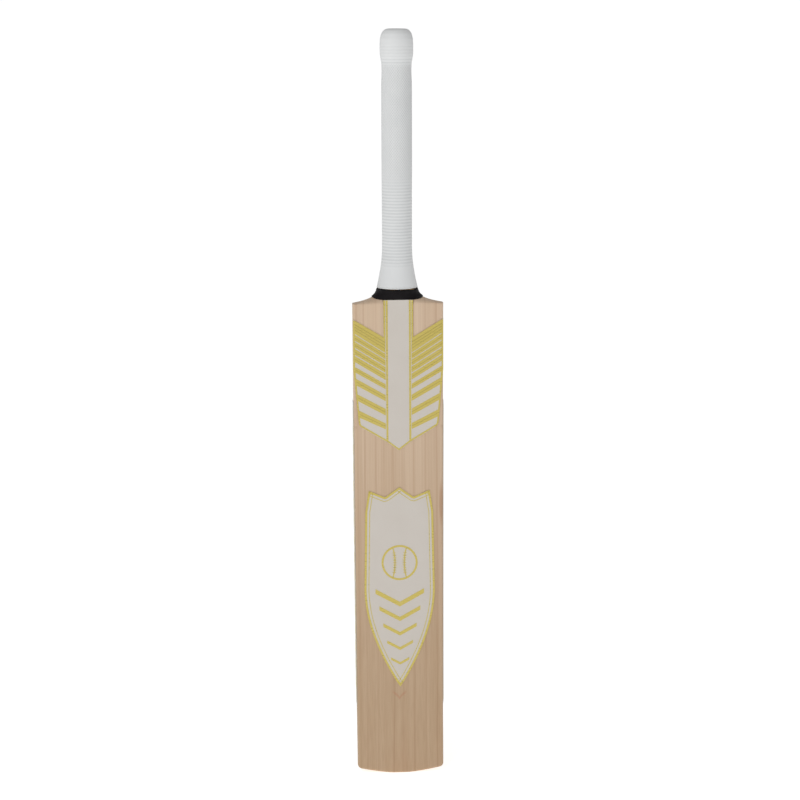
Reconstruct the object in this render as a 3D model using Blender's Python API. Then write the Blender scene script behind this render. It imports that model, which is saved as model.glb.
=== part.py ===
"""A long-handled cricket bat: a willow blade with a V splice, a laminated cane and rubber handle,
a twine whipping, a rubber grip, a shoulder tape and its stickers. The striking face looks along -Y."""

import bmesh
import bpy
import numpy as np

# ---- Overall sizes, in metres ----
BAT_LENGTH = 0.889
BLADE_LENGTH = 0.5728
BLADE_WIDTH = 0.1056
TOE_NARROWING = 0.0024

# ---- Blade: depths behind the striking face ----
EDGE_DEPTH_TOE = 0.017
EDGE_DEPTH_MIDDLE = 0.037
EDGE_DEPTH_SHOULDER = 0.020
SPINE_DEPTH_TOE = 0.024
SPINE_DEPTH_MIDDLE = 0.061
SPINE_DEPTH_SHOULDER = 0.040
SWELL_FROM = 0.262 * BLADE_LENGTH
SWELL_TO = 0.576 * BLADE_LENGTH
FACE_CROWN = 0.0022
EDGE_BULGE = 0.0005
FACE_EDGE_RADIUS = 0.0030
BACK_EDGE_RADIUS = 0.0050
SPINE_NARROWNESS = 0.80
BOW = 0.008

# ---- Toe ----
TOE_FLAT = 0.008
TOE_RISE = 0.0062
TOE_CURVE = 1.4
TOE_EDGE_RADIUS = 0.0030
TOE_EDGE_INSET = 0.0024
TOE_FADE = 0.060

# ---- Shoulder coves and splice ----
SHOULDER_RISE = 0.0205
SHOULDER_NECK = 0.0234
SHOULDER_NECK_DEPTH = 0.0203
COVE_CURVE = 4.2
SHOULDER_BLEND = 0.0080
NECK_FLARE = 0.046
HORN_RISE = 0.0005
SPLICE_LENGTH = 0.146
SPLICE_HALF_WIDTH = 0.0175
SPLICE_TIP_HALF_WIDTH = 0.0015

# ---- Handle: half sizes over the grip ----
HANDLE_HALF_WIDTH = 0.0177
HANDLE_HALF_DEPTH = 0.0187
KNOB_SWELL = 0.0016
KNOB_FROM = BAT_LENGTH - 0.043
KNOB_TO = BAT_LENGTH - 0.027
KNOB_END = 0.0180
KNOB_ROUNDING = 0.0092
KNOB_FULLNESS = 1.2
KNOB_INNER_SHARE = 0.80
WOOD_ROUNDING = 0.0065
WAIST = 0.0006
WAIST_AT = BAT_LENGTH - 0.047
WAIST_SPREAD = 0.012
HANDLE_LEAN = 0.012

# ---- Laminations ----
SPRING_THICKNESS = 0.0022
SPRING_SPACING = 0.0080
SPRING_SPLICE_DEPTH = 0.080
CANE_COLUMN_HALF = 0.0048
GLUE_GAP = 0.0003

# ---- Coverings ----
FIT_GAP = 0.0003
TWINE_THICKNESS = 0.0007
TWINE_ABOVE_NECK = 0.0107
STEP = 0.0001
GRIP_THICKNESS = 0.0014
GRIP_OPENING = 0.0090
GRIP_LIP = 0.0007
GRIP_LIP_HEIGHT = 0.0022
GRIP_LIP_START = 0.0004
GRIP_LIP_END = 0.0005
OPENING_CHAMFER = 0.0002
TAPE_SUNK = 0.0006
TAPE_PROUD = 0.0009
TAPE_GAP = 0.0006
TAPE_ABOVE_SHOULDER = 0.0050
TAPE_HEIGHT = 0.0117
TAPE_OVERLAP_STEP = 0.0003

# ---- Stickers ----
STICKER_THICKNESS = 0.0004
BAND_HALF_WIDTH = 0.0178
WING_TOP = BLADE_LENGTH - 0.0188
WING_INNER_TOP = BLADE_LENGTH - 0.0383
WING_LOWER_CORNER = BLADE_LENGTH - 0.1438
WING_LOWER_HALF = BLADE_WIDTH / 2.0 - 0.0073
WING_STRAIGHT_TO = BLADE_LENGTH - 0.0828
WING_EDGE_INSET = 0.0012
WING_CORNER_CUT = 0.0025
WING_OVERHANG = 0.010
BAND_SHOULDER = BLADE_LENGTH - 0.1641
BAND_TIP = BLADE_LENGTH - 0.1745
BAND_TIP_HALF_WIDTH = 0.0135
SHIELD_TOP = 0.618 * BLADE_LENGTH
SHIELD_BOTTOM = 0.19 * BLADE_LENGTH
SHIELD_WAIST = 0.4015 * BLADE_LENGTH
SHIELD_HALF_WIDTH = 0.398 * BLADE_WIDTH
SHIELD_HORN_DROP = 0.004
SHIELD_DIP_DROP = 0.012
SHIELD_SIDE_DROP = 0.030
SHIELD_TIP_SHARE = 0.12
SHIELD_FULLNESS = 0.9
SHIELD_SIDE = 0.96 * SHIELD_HALF_WIDTH
SHIELD_HORN = 0.86 * SHIELD_HALF_WIDTH
SHIELD_DIP = 0.40 * SHIELD_HALF_WIDTH
EDGE_STICKER_FROM = 0.1484 * BLADE_LENGTH
EDGE_STICKER_TO = 0.796 * BLADE_LENGTH
BACK_STICKER_FROM = 0.4365 * BLADE_LENGTH
BACK_STICKER_TO = 0.7158 * BLADE_LENGTH

# ---- Mesh density ----
FRONT_STEPS = 7
CORNER_STEPS = 3
SIDE_STEPS = 2
BACK_STEPS = 8
SHARP_ANGLE = np.radians(35.0)
FAR = 0.20
ABOVE = BAT_LENGTH + 0.060
CUT_PAST = 0.002
STATION_GAP = 0.001
SPINE_CLEAR_STEPS = 3
WELD_DISTANCE = 1e-6
OVAL_STOPS = (0.0, 58.0, 72.0, 108.0, 122.0, 180.0)

NECK_TOP = BLADE_LENGTH + SHOULDER_RISE
TWINE_FROM = NECK_TOP + TWINE_ABOVE_NECK
TAPE_FROM = BLADE_LENGTH + TAPE_ABOVE_SHOULDER
TAPE_TO = TAPE_FROM + TAPE_HEIGHT
WOOD_TOP = BAT_LENGTH - GRIP_THICKNESS - FIT_GAP
SPLICE_TIP = BLADE_LENGTH - SPLICE_LENGTH
NECK_AXIS_DEPTH = SPINE_DEPTH_SHOULDER / 2.0
HALF_RING = FRONT_STEPS + 2 * CORNER_STEPS + SIDE_STEPS + BACK_STEPS + 1


def ease(value):
    """A smooth step from 0 to 1."""
    t = np.clip(value, 0.0, 1.0)
    return t * t * (3.0 - 2.0 * t)


def swelling(z, at_toe, middle, at_shoulder):
    """A depth that rises from the toe to the middle and falls to the shoulder."""
    low = at_toe + (middle - at_toe) * ease(z / SWELL_FROM)
    fall = ease((z - SWELL_TO) / (BLADE_LENGTH - SWELL_TO))
    return low + (at_shoulder - middle) * fall


def blade_shift(z):
    """The forward sweep of the lower blade plus the forward lean of the handle."""
    sweep = np.clip((SPLICE_TIP - z) / SPLICE_TIP, 0.0, 1.0) ** 2
    lean = max((z - BLADE_LENGTH) / (BAT_LENGTH - BLADE_LENGTH), 0.0)
    return -BOW * sweep - HANDLE_LEAN * lean


def blade_half_width(z):
    """Half of the blade's width, which narrows a little towards the toe."""
    return (BLADE_WIDTH - TOE_NARROWING * (1.0 - z / BLADE_LENGTH)) / 2.0


def shaft_swell(z):
    """The handle's slight waist below the knob and its swelling at the knob."""
    waist = WAIST * np.exp(-(((z - WAIST_AT) / WAIST_SPREAD) ** 2))
    return KNOB_SWELL * ease((z - KNOB_FROM) / (KNOB_TO - KNOB_FROM)) - waist


def outer_half_width(z):
    """Half of the finished width at a height above the shoulder corner."""
    if z < NECK_TOP:
        left = np.clip((NECK_TOP - z) / SHOULDER_RISE, 0.0, 1.0)
        return SHOULDER_NECK + (BLADE_WIDTH / 2.0 - SHOULDER_NECK) * left**COVE_CURVE
    flare = np.clip((NECK_TOP + NECK_FLARE - z) / NECK_FLARE, 0.0, 1.0) ** 2
    return HANDLE_HALF_WIDTH + (SHOULDER_NECK - HANDLE_HALF_WIDTH) * flare + shaft_swell(z)


def outer_half_depth(z):
    """Half of the finished depth at a height above the shoulder corner."""
    if z < NECK_TOP:
        return SHOULDER_NECK_DEPTH
    flare = np.clip((NECK_TOP + NECK_FLARE - z) / NECK_FLARE, 0.0, 1.0) ** 2
    return HANDLE_HALF_DEPTH + (SHOULDER_NECK_DEPTH - HANDLE_HALF_DEPTH) * flare + shaft_swell(z)


def covering(z):
    """How far the wood lies inside the finished outline: under the tape, the grip and the twine."""
    if z < TAPE_FROM:
        return 0.0
    if z <= TAPE_TO:
        return TAPE_SUNK + TAPE_GAP
    under_grip = GRIP_THICKNESS + FIT_GAP
    if z < TWINE_FROM:
        return under_grip
    return under_grip + TWINE_THICKNESS + FIT_GAP


def blade_half(z, grow):
    """Half of a blade section, from the middle of the face round the edge to the spine."""
    edge = swelling(z, EDGE_DEPTH_TOE, EDGE_DEPTH_MIDDLE, EDGE_DEPTH_SHOULDER)
    spine = swelling(z, SPINE_DEPTH_TOE, SPINE_DEPTH_MIDDLE, SPINE_DEPTH_SHOULDER)
    half = blade_half_width(z)
    front_r = FACE_EDGE_RADIUS
    back_r = BACK_EDGE_RADIUS
    across = np.linspace(0.0, 1.0, FRONT_STEPS + 1)[:-1]
    front_x = across * (half - front_r)
    front_y = FACE_CROWN * (front_x / half) ** 2 - grow
    corner_y = FACE_CROWN * ((half - front_r) / half) ** 2
    turn = np.linspace(0.0, np.pi / 2.0, CORNER_STEPS + 1)[:-1]
    corner_x = half - front_r + (front_r + grow) * np.sin(turn)
    corner_ys = corner_y + front_r - (front_r + grow) * np.cos(turn)
    along = np.linspace(0.0, 1.0, SIDE_STEPS + 1)[:-1]
    side_x = half + grow + EDGE_BULGE * np.sin(np.pi * along)
    side_y = corner_y + front_r + along * (edge - back_r - corner_y - front_r)
    back_x0 = half - back_r + (back_r + grow) * np.cos(turn)
    back_y0 = edge - back_r + (back_r + grow) * np.sin(turn)
    q = np.linspace(1.0, 0.0, BACK_STEPS + 1)
    flank = (1.0 + np.cos(np.pi * q**SPINE_NARROWNESS)) / 2.0
    back_x = q * (half - back_r)
    back_y = edge + grow + (spine - edge) * flank
    xs = np.concatenate([front_x, corner_x, side_x, back_x0, back_x])
    ys = np.concatenate([front_y, corner_ys, side_y, back_y0, back_y])
    return xs, ys


def oval_half(half_width, half_depth):
    """Half of an oval section about the handle's axis, with its points spread like a blade section's."""
    steps = [FRONT_STEPS, CORNER_STEPS, SIDE_STEPS, CORNER_STEPS, BACK_STEPS]
    parts = [np.linspace(a, b, n + 1)[:-1] for a, b, n in zip(OVAL_STOPS, OVAL_STOPS[1:], steps)]
    angle = np.radians(np.append(np.concatenate(parts), 180.0))
    return half_width * np.sin(angle), NECK_AXIS_DEPTH - half_depth * np.cos(angle)


def section_half(z, grow):
    """Half of the section at any height: blade, shoulder blend or handle."""
    if z <= BLADE_LENGTH:
        return blade_half(z, grow)
    wide = outer_half_width(z) + grow
    deep = outer_half_depth(z) + grow
    oval_x, oval_y = oval_half(wide, deep)
    if z >= NECK_TOP:
        return oval_x, oval_y
    flat_x, flat_y = blade_half(BLADE_LENGTH, grow)
    flat_x = flat_x * wide / (BLADE_WIDTH / 2.0 + grow)
    blend = ease((z - BLADE_LENGTH) / SHOULDER_BLEND)
    return flat_x + (oval_x - flat_x) * blend, flat_y + (oval_y - flat_y) * blend


def ring(z, grow):
    """A closed section as points, starting at the middle of the face and going round by +X."""
    xs, ys = section_half(z, grow)
    ys = ys + blade_shift(z)
    full_x = np.concatenate([xs, -xs[-2:0:-1]])
    full_y = np.concatenate([ys, ys[-2:0:-1]])
    return np.column_stack([full_x, full_y, np.full(len(full_x), z)])


def band(z, first, last, near, far):
    """A closed strip between two offsets of the section, over the ring points first to last."""
    index = np.arange(first, last + 1)
    outer = ring(z, far)[index]
    inner = ring(z, near)[index]
    return np.concatenate([outer, inner[::-1]])


def end_strips(count):
    """A section's end face as strips that join each point of the face to one of the back."""
    half = count // 2 + 1
    faces = []
    for k in range((half - 1) // 2):
        right = [k, half - 1 - k, half - 2 - k, k + 1]
        faces.append(right)
        faces.append([(count - i) % count for i in right[::-1]])
    return faces


def loft(name, rings, closed=False, strips=False):
    """A solid through the rings; closed joins the last ring to the first, as in a tube."""
    count = len(rings[0])
    points = np.concatenate(rings)
    around = np.arange(count)
    after = (around + 1) % count
    faces = []
    for k in range(len(rings) if closed else len(rings) - 1):
        low = k * count
        high = ((k + 1) % len(rings)) * count
        faces.extend(np.column_stack([low + around, low + after, high + after]).tolist())
        faces.extend(np.column_stack([low + around, high + after, high + around]).tolist())
    if strips:
        faces.extend(end_strips(count))
    elif not closed:
        faces.append(around[::-1].tolist())
    if not closed:
        faces.append((around + count * (len(rings) - 1)).tolist())
    mesh = bpy.data.meshes.new(name)
    mesh.from_pydata(points.tolist(), [], faces)
    mesh.shade_smooth()
    mesh.set_sharp_from_angle(angle=SHARP_ANGLE)
    return bpy.data.objects.new(name, mesh)


def outline(name, points, near, far):
    """A prism along Y from an outline given as x and z, made as a filled and extruded curve."""
    curve = bpy.data.curves.new(name, "CURVE")
    curve.dimensions = "2D"
    curve.fill_mode = "BOTH"
    curve.extrude = (far - near) / 2.0
    spline = curve.splines.new("POLY")
    spline.points.add(len(points) - 1)
    for item, (x, z) in zip(spline.points, points):
        item.co = (x, z, 0.0, 1.0)
    spline.use_cyclic_u = True
    flat = bpy.data.objects.new(name + "_curve", curve)
    bpy.context.scene.collection.objects.link(flat)
    mesh = bpy.data.meshes.new_from_object(flat.evaluated_get(bpy.context.evaluated_depsgraph_get()))
    bpy.data.objects.remove(flat)
    co = np.array([v.co for v in mesh.vertices])
    turned = np.column_stack([co[:, 0], (near + far) / 2.0 - co[:, 2], co[:, 1]])
    mesh.vertices.foreach_set("co", turned.ravel())
    mesh.update()
    weld(mesh)
    return bpy.data.objects.new(name, mesh)


def weld(mesh):
    """Joins the cap and side points of an extruded curve and turns its faces outwards."""
    bm = bmesh.new()
    bm.from_mesh(mesh)
    bmesh.ops.remove_doubles(bm, verts=bm.verts, dist=WELD_DISTANCE)
    bmesh.ops.recalc_face_normals(bm, faces=bm.faces)
    bm.to_mesh(mesh)
    bm.free()


def slab(name, x0, x1, y0, y1, z0, z1):
    """A block whose faces follow the handle's lean above the shoulder."""
    stops = [z for z in (z0, BLADE_LENGTH, z1) if z0 <= z <= z1]
    rings = []
    for z in stops:
        front = y0 + blade_shift(z)
        back = y1 + blade_shift(z)
        rings.append(np.array([(x0, front, z), (x1, front, z), (x1, back, z), (x0, back, z)]))
    return loft(name, rings)


def boolean(target, cutter, operation):
    """An exact Boolean, shown alike in the viewport and in a render."""
    modifier = target.modifiers.new(operation.lower() + "_" + cutter.name, "BOOLEAN")
    modifier.operation = operation
    modifier.solver = "EXACT"
    modifier.object = cutter


def hide(cutter):
    """Puts a helper with the cutters, out of the render."""
    cutters.objects.link(cutter)
    cutter.hide_render = True
    cutter.display_type = "WIRE"
    return cutter


def show(obj, material):
    """Makes an object a part of the bat with its own material."""
    bat.objects.link(obj)
    obj.data.materials.append(material)
    return obj


def finish(name, colour, roughness, metallic=0.0):
    """A plain Principled material."""
    material = bpy.data.materials.new(name)
    material.use_nodes = True
    shader = material.node_tree.nodes["Principled BSDF"]
    shader.inputs["Base Color"].default_value = (*colour, 1.0)
    shader.inputs["Roughness"].default_value = roughness
    shader.inputs["Metallic"].default_value = metallic
    return material


for old in list(bpy.data.objects):
    bpy.data.objects.remove(old, do_unlink=True)

bat = bpy.data.collections.new("cricket_bat")
bpy.context.scene.collection.children.link(bat)
cutters = bpy.data.collections.new("cutters")
bpy.context.scene.collection.children.link(cutters)

# ---- The wooden body that the blade and the handle are both cut from ----


def toe_ring(inset, height):
    """A toe section pulled in by inset, lifted along the rounded toe line."""
    points = ring(height, -inset)
    points[:, 0] *= 1.0 - inset / (BLADE_WIDTH / 2.0)
    return lift_toe(points, height)


def lift_toe(points, height):
    """Raises a section along the toe's curve, fading out up the blade."""
    reach = np.clip((np.abs(points[:, 0]) - TOE_FLAT) / (BLADE_WIDTH / 2.0 - TOE_FLAT), 0.0, 1.0)
    fade = 1.0 - ease(height / TOE_FADE)
    points[:, 2] = height + TOE_RISE * reach**TOE_CURVE * fade
    return points


def wood_rings(top):
    """The sections of the bare wood from the toe up to a height."""
    rings = []
    for turn in np.radians([0.0, 45.0, 70.0]):
        inset = TOE_EDGE_INSET * (1.0 - np.sin(turn))
        rings.append(toe_ring(inset, TOE_EDGE_RADIUS * (1.0 - np.cos(turn))))
    for z in BLADE_STATIONS:
        rings.append(lift_toe(ring(z, 0.0), z))
    for z in [s for s in SHOULDER_STATIONS + HANDLE_STATIONS if s < top]:
        rings.append(ring(z, -covering(z)))
    return rings


BLADE_STATIONS = [TOE_EDGE_RADIUS, 0.012, 0.030] + np.linspace(0.060, SPLICE_TIP, 12).tolist()
BLADE_STATIONS = BLADE_STATIONS + np.linspace(SPLICE_TIP, BLADE_LENGTH, 6).tolist()[1:]
SHOULDER_STATIONS = [BLADE_LENGTH + share * TAPE_ABOVE_SHOULDER for share in (0.12, 0.30, 0.55, 0.78)]
SHOULDER_STATIONS += [TAPE_FROM - STEP]
SHOULDER_STATIONS += [TAPE_FROM + share * TAPE_HEIGHT for share in (0.0, 0.17, 0.38, 0.68, 1.0)]
SHOULDER_STATIONS += [TAPE_TO + STEP, NECK_TOP]
FLARE_STATIONS = [NECK_TOP + share * TWINE_ABOVE_NECK for share in (0.30, 0.65, 1.0)]
FLARE_STATIONS += [NECK_TOP + share * NECK_FLARE for share in (0.45, 0.65, 0.82, 1.0)]
FLARE_TOP = NECK_TOP + NECK_FLARE
SHAFT_STATIONS = [FLARE_TOP + share * (WAIST_AT - FLARE_TOP) for share in (0.35, 0.7, 0.88)]
SHAFT_STATIONS += [WAIST_AT, KNOB_FROM]
SHAFT_STATIONS += [KNOB_FROM + share * (KNOB_TO - KNOB_FROM) for share in (0.25, 0.5, 0.75, 1.0)]
SHAFT_STATIONS += [BAT_LENGTH - KNOB_END]
HANDLE_STATIONS = FLARE_STATIONS[:2] + [TWINE_FROM - STEP] + FLARE_STATIONS[2:] + SHAFT_STATIONS

top_rings = []
for turn in np.radians([20.0, 45.0, 70.0, 90.0]):
    height = BAT_LENGTH - KNOB_END + (WOOD_TOP - BAT_LENGTH + KNOB_END) * np.sin(turn)
    top_rings.append(ring(height, -covering(height) - WOOD_ROUNDING * (1.0 - np.cos(turn))))

body_rings = wood_rings(BAT_LENGTH) + top_rings
willow = finish("willow", (0.78, 0.60, 0.42), 0.45)
cane = finish("cane", (0.62, 0.42, 0.20), 0.55)
spring_rubber = finish("spring_rubber", (0.10, 0.09, 0.08), 0.80)
twine_thread = finish("twine_thread", (0.76, 0.70, 0.58), 0.75)
grip_rubber = finish("grip_rubber", (0.84, 0.86, 0.86), 0.60)
tape_cloth = finish("tape_cloth", (0.02, 0.018, 0.022), 0.55)
sticker_film = finish("sticker_film", (0.86, 0.85, 0.80), 0.30)

# ---- Blade: the body below the handle's neck, with the splice slot taken out ----


def splice_outline(clearance, bottom, top):
    """The V of the splice as x and z, narrowed by a clearance."""
    slope = (SPLICE_HALF_WIDTH - SPLICE_TIP_HALF_WIDTH) / SPLICE_LENGTH
    tip = SPLICE_TIP_HALF_WIDTH - clearance
    high = SPLICE_TIP_HALF_WIDTH + slope * (top - SPLICE_TIP) - clearance
    return [(-tip, bottom), (tip, bottom), (high, top), (-high, top)]


HORN_TOP = NECK_TOP + HORN_RISE
blade = show(loft("blade", body_rings, strips=True), willow)
slot = hide(outline("splice_slot", splice_outline(0.0, SPLICE_TIP, HORN_TOP + CUT_PAST), -FAR, FAR))
above_horns = hide(slab("above_horns", -FAR, FAR, -FAR, FAR, HORN_TOP, ABOVE))
boolean(blade, slot, "DIFFERENCE")
boolean(blade, above_horns, "DIFFERENCE")

# ---- Handle: twelve canes and three rubber springs cut from one block ----

handle_block = hide(loft("handle_block", body_rings, strips=True))
wedge_outline = splice_outline(GLUE_GAP, SPLICE_TIP + GLUE_GAP, HORN_TOP + CUT_PAST)
wedge = hide(outline("splice_wedge", wedge_outline, -FAR, FAR))
head_room = hide(slab("head_room", -FAR, FAR, -FAR, FAR, HORN_TOP + GLUE_GAP, ABOVE))
boolean(wedge, head_room, "UNION")
boolean(handle_block, wedge, "INTERSECT")

spring_bottom = BLADE_LENGTH - SPRING_SPLICE_DEPTH
layer_edges = [NECK_AXIS_DEPTH + SPRING_SPACING * k for k in (-1, 0, 1)]
column_edges = [-FAR, -CANE_COLUMN_HALF, CANE_COLUMN_HALF, FAR]
half_glue = GLUE_GAP / 2.0

slots = []
slot_bottom = spring_bottom - GLUE_GAP
for index, depth in enumerate(layer_edges):
    reach = SPRING_THICKNESS / 2.0 + GLUE_GAP
    cut = slab(f"spring_slot_{index}", -FAR, FAR, depth - reach, depth + reach, slot_bottom, ABOVE)
    slots.append(hide(cut))

for layer, name in enumerate(("front", "front_inner", "back_inner", "back")):
    y0 = layer_edges[layer - 1] + half_glue if layer > 0 else -FAR
    y1 = layer_edges[layer] - half_glue if layer < 3 else FAR
    for column, side in enumerate(("left", "middle", "right")):
        x0 = column_edges[column] + half_glue
        x1 = column_edges[column + 1] - half_glue
        slip = show(slab(f"cane_{name}_{side}", x0, x1, y0, y1, SPLICE_TIP - CUT_PAST, ABOVE), cane)
        if layer > 0:
            boolean(slip, slots[layer - 1], "DIFFERENCE")
        if layer < 3:
            boolean(slip, slots[layer], "DIFFERENCE")
        boolean(slip, handle_block, "INTERSECT")

for index, (name, depth) in enumerate(zip(("front", "middle", "back"), layer_edges)):
    reach = SPRING_THICKNESS / 2.0
    strip = slab(f"spring_{name}", -FAR, FAR, depth - reach, depth + reach, spring_bottom, ABOVE)
    show(strip, spring_rubber)
    boolean(strip, handle_block, "INTERSECT")

# ---- Twine whipping ----

twine_stations = [z for z in HANDLE_STATIONS if z >= TWINE_FROM]
inner_rings = [ring(z, -covering(z) + FIT_GAP) for z in twine_stations]
outer_rings = [ring(z, -covering(z) + FIT_GAP + TWINE_THICKNESS) for z in twine_stations]
show(loft("twine_whipping", outer_rings + inner_rings[::-1], closed=True), twine_thread)

# ---- Grip: one rubber tube with a lip at the bottom and a turned-in top ----

GRIP_FROM = TAPE_TO + FIT_GAP
lip_top = GRIP_FROM + GRIP_LIP_HEIGHT
outer = [ring(GRIP_FROM, 0.0), ring(GRIP_FROM + GRIP_LIP_START, GRIP_LIP)]
outer += [ring(lip_top - GRIP_LIP_END, GRIP_LIP), ring(lip_top, 0.0)]
grip_stations = [NECK_TOP + GRIP_LIP_HEIGHT / 2.0] + FLARE_STATIONS + SHAFT_STATIONS
outer += [ring(z, 0.0) for z in grip_stations]
inner = [ring(z, -GRIP_THICKNESS) for z in [GRIP_FROM] + grip_stations]
for turn in np.radians([20.0, 40.0, 60.0, 75.0, 90.0]):
    height = BAT_LENGTH - KNOB_END + KNOB_END * np.sin(turn)
    rounding = KNOB_ROUNDING * (1.0 - np.cos(turn)) ** KNOB_FULLNESS
    outer.append(ring(height, -rounding))
    height -= GRIP_THICKNESS * np.sin(turn)
    inner.append(ring(height, -GRIP_THICKNESS - KNOB_INNER_SHARE * rounding))
opening = (HANDLE_HALF_WIDTH + KNOB_SWELL) - GRIP_OPENING
outer.append(ring(BAT_LENGTH - OPENING_CHAMFER, -opening + 2.0 * OPENING_CHAMFER))
outer.append(ring(BAT_LENGTH - GRIP_THICKNESS / 2.0, -opening))
inner.append(ring(BAT_LENGTH - GRIP_THICKNESS, -opening + OPENING_CHAMFER))
show(loft("grip", outer + inner[::-1], closed=True), grip_rubber)

# ---- Shoulder tape: a ring on the shoulder coves, its outer end lying over its start ----

tape_stations = [z for z in SHOULDER_STATIONS if TAPE_FROM <= z <= TAPE_TO]
tape_outer = []
for z in tape_stations:
    points = ring(z, TAPE_PROUD)
    lifted = ring(z, TAPE_PROUD + TAPE_OVERLAP_STEP)
    points[:CORNER_STEPS] = lifted[:CORNER_STEPS]
    tape_outer.append(points)
tape_inner = [ring(z, -TAPE_SUNK) for z in tape_stations]
show(loft("shoulder_tape", tape_outer + tape_inner[::-1], closed=True), tape_cloth)

# ---- Stickers: thin films that follow the wood, cut to their outlines ----

near = FIT_GAP
far = FIT_GAP + STICKER_THICKNESS
FULL_RING = 2 * (HALF_RING - 1)
wrap = FRONT_STEPS + CORNER_STEPS


def film(name, stations, first, last):
    """A film over the ring points first to last, lofted up the blade."""
    return show(loft(name, [band(z, first, last, near, far) for z in stations]), sticker_film)


def stations_between(low, high):
    """The body's own stations between two heights, with both ends."""
    inside = [z for z in BLADE_STATIONS + SHOULDER_STATIONS if low + STATION_GAP < z < high - STATION_GAP]
    return [low] + inside + [high]


beyond_edge = BLADE_WIDTH / 2.0 + WING_OVERHANG
wing_rise = (WING_TOP - WING_INNER_TOP) / (BLADE_WIDTH / 2.0 - BAND_HALF_WIDTH)
wing = [(0.0, BAND_TIP), (BAND_TIP_HALF_WIDTH, BAND_SHOULDER)]
wing += [(WING_LOWER_HALF - WING_CORNER_CUT, WING_LOWER_CORNER - WING_CORNER_CUT)]
wing += [(WING_LOWER_HALF, WING_LOWER_CORNER + WING_CORNER_CUT)]
wing += [(BLADE_WIDTH / 2.0 - WING_EDGE_INSET, WING_STRAIGHT_TO)]
wing += [(beyond_edge, WING_STRAIGHT_TO + WING_OVERHANG)]
wing += [(beyond_edge, WING_TOP + WING_OVERHANG * wing_rise), (BAND_HALF_WIDTH, WING_INNER_TOP)]
wing += [(BAND_HALF_WIDTH, TAPE_FROM - FIT_GAP)]
top_outline = wing + [(-x, z) for x, z in wing[:0:-1]]
top_cut = hide(outline("top_sticker_outline", top_outline, -FAR, FAR))
top_stations = stations_between(BAND_TIP - WING_OVERHANG, TAPE_FROM - FIT_GAP)
top_film = film("face_sticker_top", top_stations, -wrap, wrap)
boolean(top_film, top_cut, "INTERSECT")

shield = [(0.0, SHIELD_BOTTOM)]
for share in np.linspace(SHIELD_TIP_SHARE, 1.0, 9):
    rise = SHIELD_BOTTOM + (SHIELD_WAIST - SHIELD_BOTTOM) * share
    shield.append((SHIELD_HALF_WIDTH * np.sin(share * np.pi / 2.0) ** SHIELD_FULLNESS, rise))
shield += [(SHIELD_SIDE, SHIELD_TOP - SHIELD_SIDE_DROP), (SHIELD_HORN, SHIELD_TOP - SHIELD_HORN_DROP)]
shield += [(SHIELD_DIP, SHIELD_TOP - SHIELD_DIP_DROP)]
lower_outline = shield + [(0.0, SHIELD_TOP)] + [(-x, z) for x, z in shield[:0:-1]]
lower_cut = hide(outline("lower_sticker_outline", lower_outline, -FAR, FAR))
lower_stations = stations_between(SHIELD_BOTTOM - WING_OVERHANG, SHIELD_TOP + WING_OVERHANG)
lower_film = film("face_sticker_lower", lower_stations, -wrap, wrap)
boolean(lower_film, lower_cut, "INTERSECT")

edge_first = FRONT_STEPS + CORNER_STEPS
edge_last = edge_first + SIDE_STEPS
edge_stations = stations_between(EDGE_STICKER_FROM, EDGE_STICKER_TO)
film("edge_sticker_right", edge_stations, edge_first, edge_last)
film("edge_sticker_left", edge_stations, FULL_RING - edge_last, FULL_RING - edge_first)

back_first = edge_last + CORNER_STEPS + 1
back_last = HALF_RING - 1 - SPINE_CLEAR_STEPS
back_stations = stations_between(BACK_STICKER_FROM, BACK_STICKER_TO)
film("back_sticker_right", back_stations, back_first, back_last)
film("back_sticker_left", back_stations, FULL_RING - back_last, FULL_RING - back_first)

# ---- The origin goes to the middle of the footprint ----

bpy.context.view_layer.update()
graph = bpy.context.evaluated_depsgraph_get()
corners = np.concatenate([np.array(obj.evaluated_get(graph).bound_box) for obj in bat.objects])
middle = (corners[:, 1].min() + corners[:, 1].max()) / 2.0
for obj in list(bat.objects) + list(cutters.objects):
    obj.location.y = -middle
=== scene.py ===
import bmesh
import bpy
import numpy as np
from mathutils import Matrix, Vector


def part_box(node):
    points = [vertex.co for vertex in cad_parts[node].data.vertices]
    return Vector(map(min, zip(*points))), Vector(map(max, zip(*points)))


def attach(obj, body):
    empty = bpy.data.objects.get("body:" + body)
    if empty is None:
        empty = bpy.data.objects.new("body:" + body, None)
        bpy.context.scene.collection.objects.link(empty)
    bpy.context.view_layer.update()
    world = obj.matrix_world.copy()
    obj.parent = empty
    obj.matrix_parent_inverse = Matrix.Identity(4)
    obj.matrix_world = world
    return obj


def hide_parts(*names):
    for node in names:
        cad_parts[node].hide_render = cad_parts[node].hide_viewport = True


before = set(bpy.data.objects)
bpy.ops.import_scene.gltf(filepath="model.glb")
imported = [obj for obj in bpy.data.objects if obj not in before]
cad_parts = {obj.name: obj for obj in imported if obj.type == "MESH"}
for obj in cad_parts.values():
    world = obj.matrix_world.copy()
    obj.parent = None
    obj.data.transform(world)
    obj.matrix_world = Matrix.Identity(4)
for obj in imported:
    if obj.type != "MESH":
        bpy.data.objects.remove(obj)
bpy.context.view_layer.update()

# --------------------
# Handle blank. Twelve canes glued round three rubber strips, shaped to an oval
# and cut to a long wedge at its lower end, which is glued into the blade.
# The three back canes show in the splice, so they get a smooth finished skin.

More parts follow.
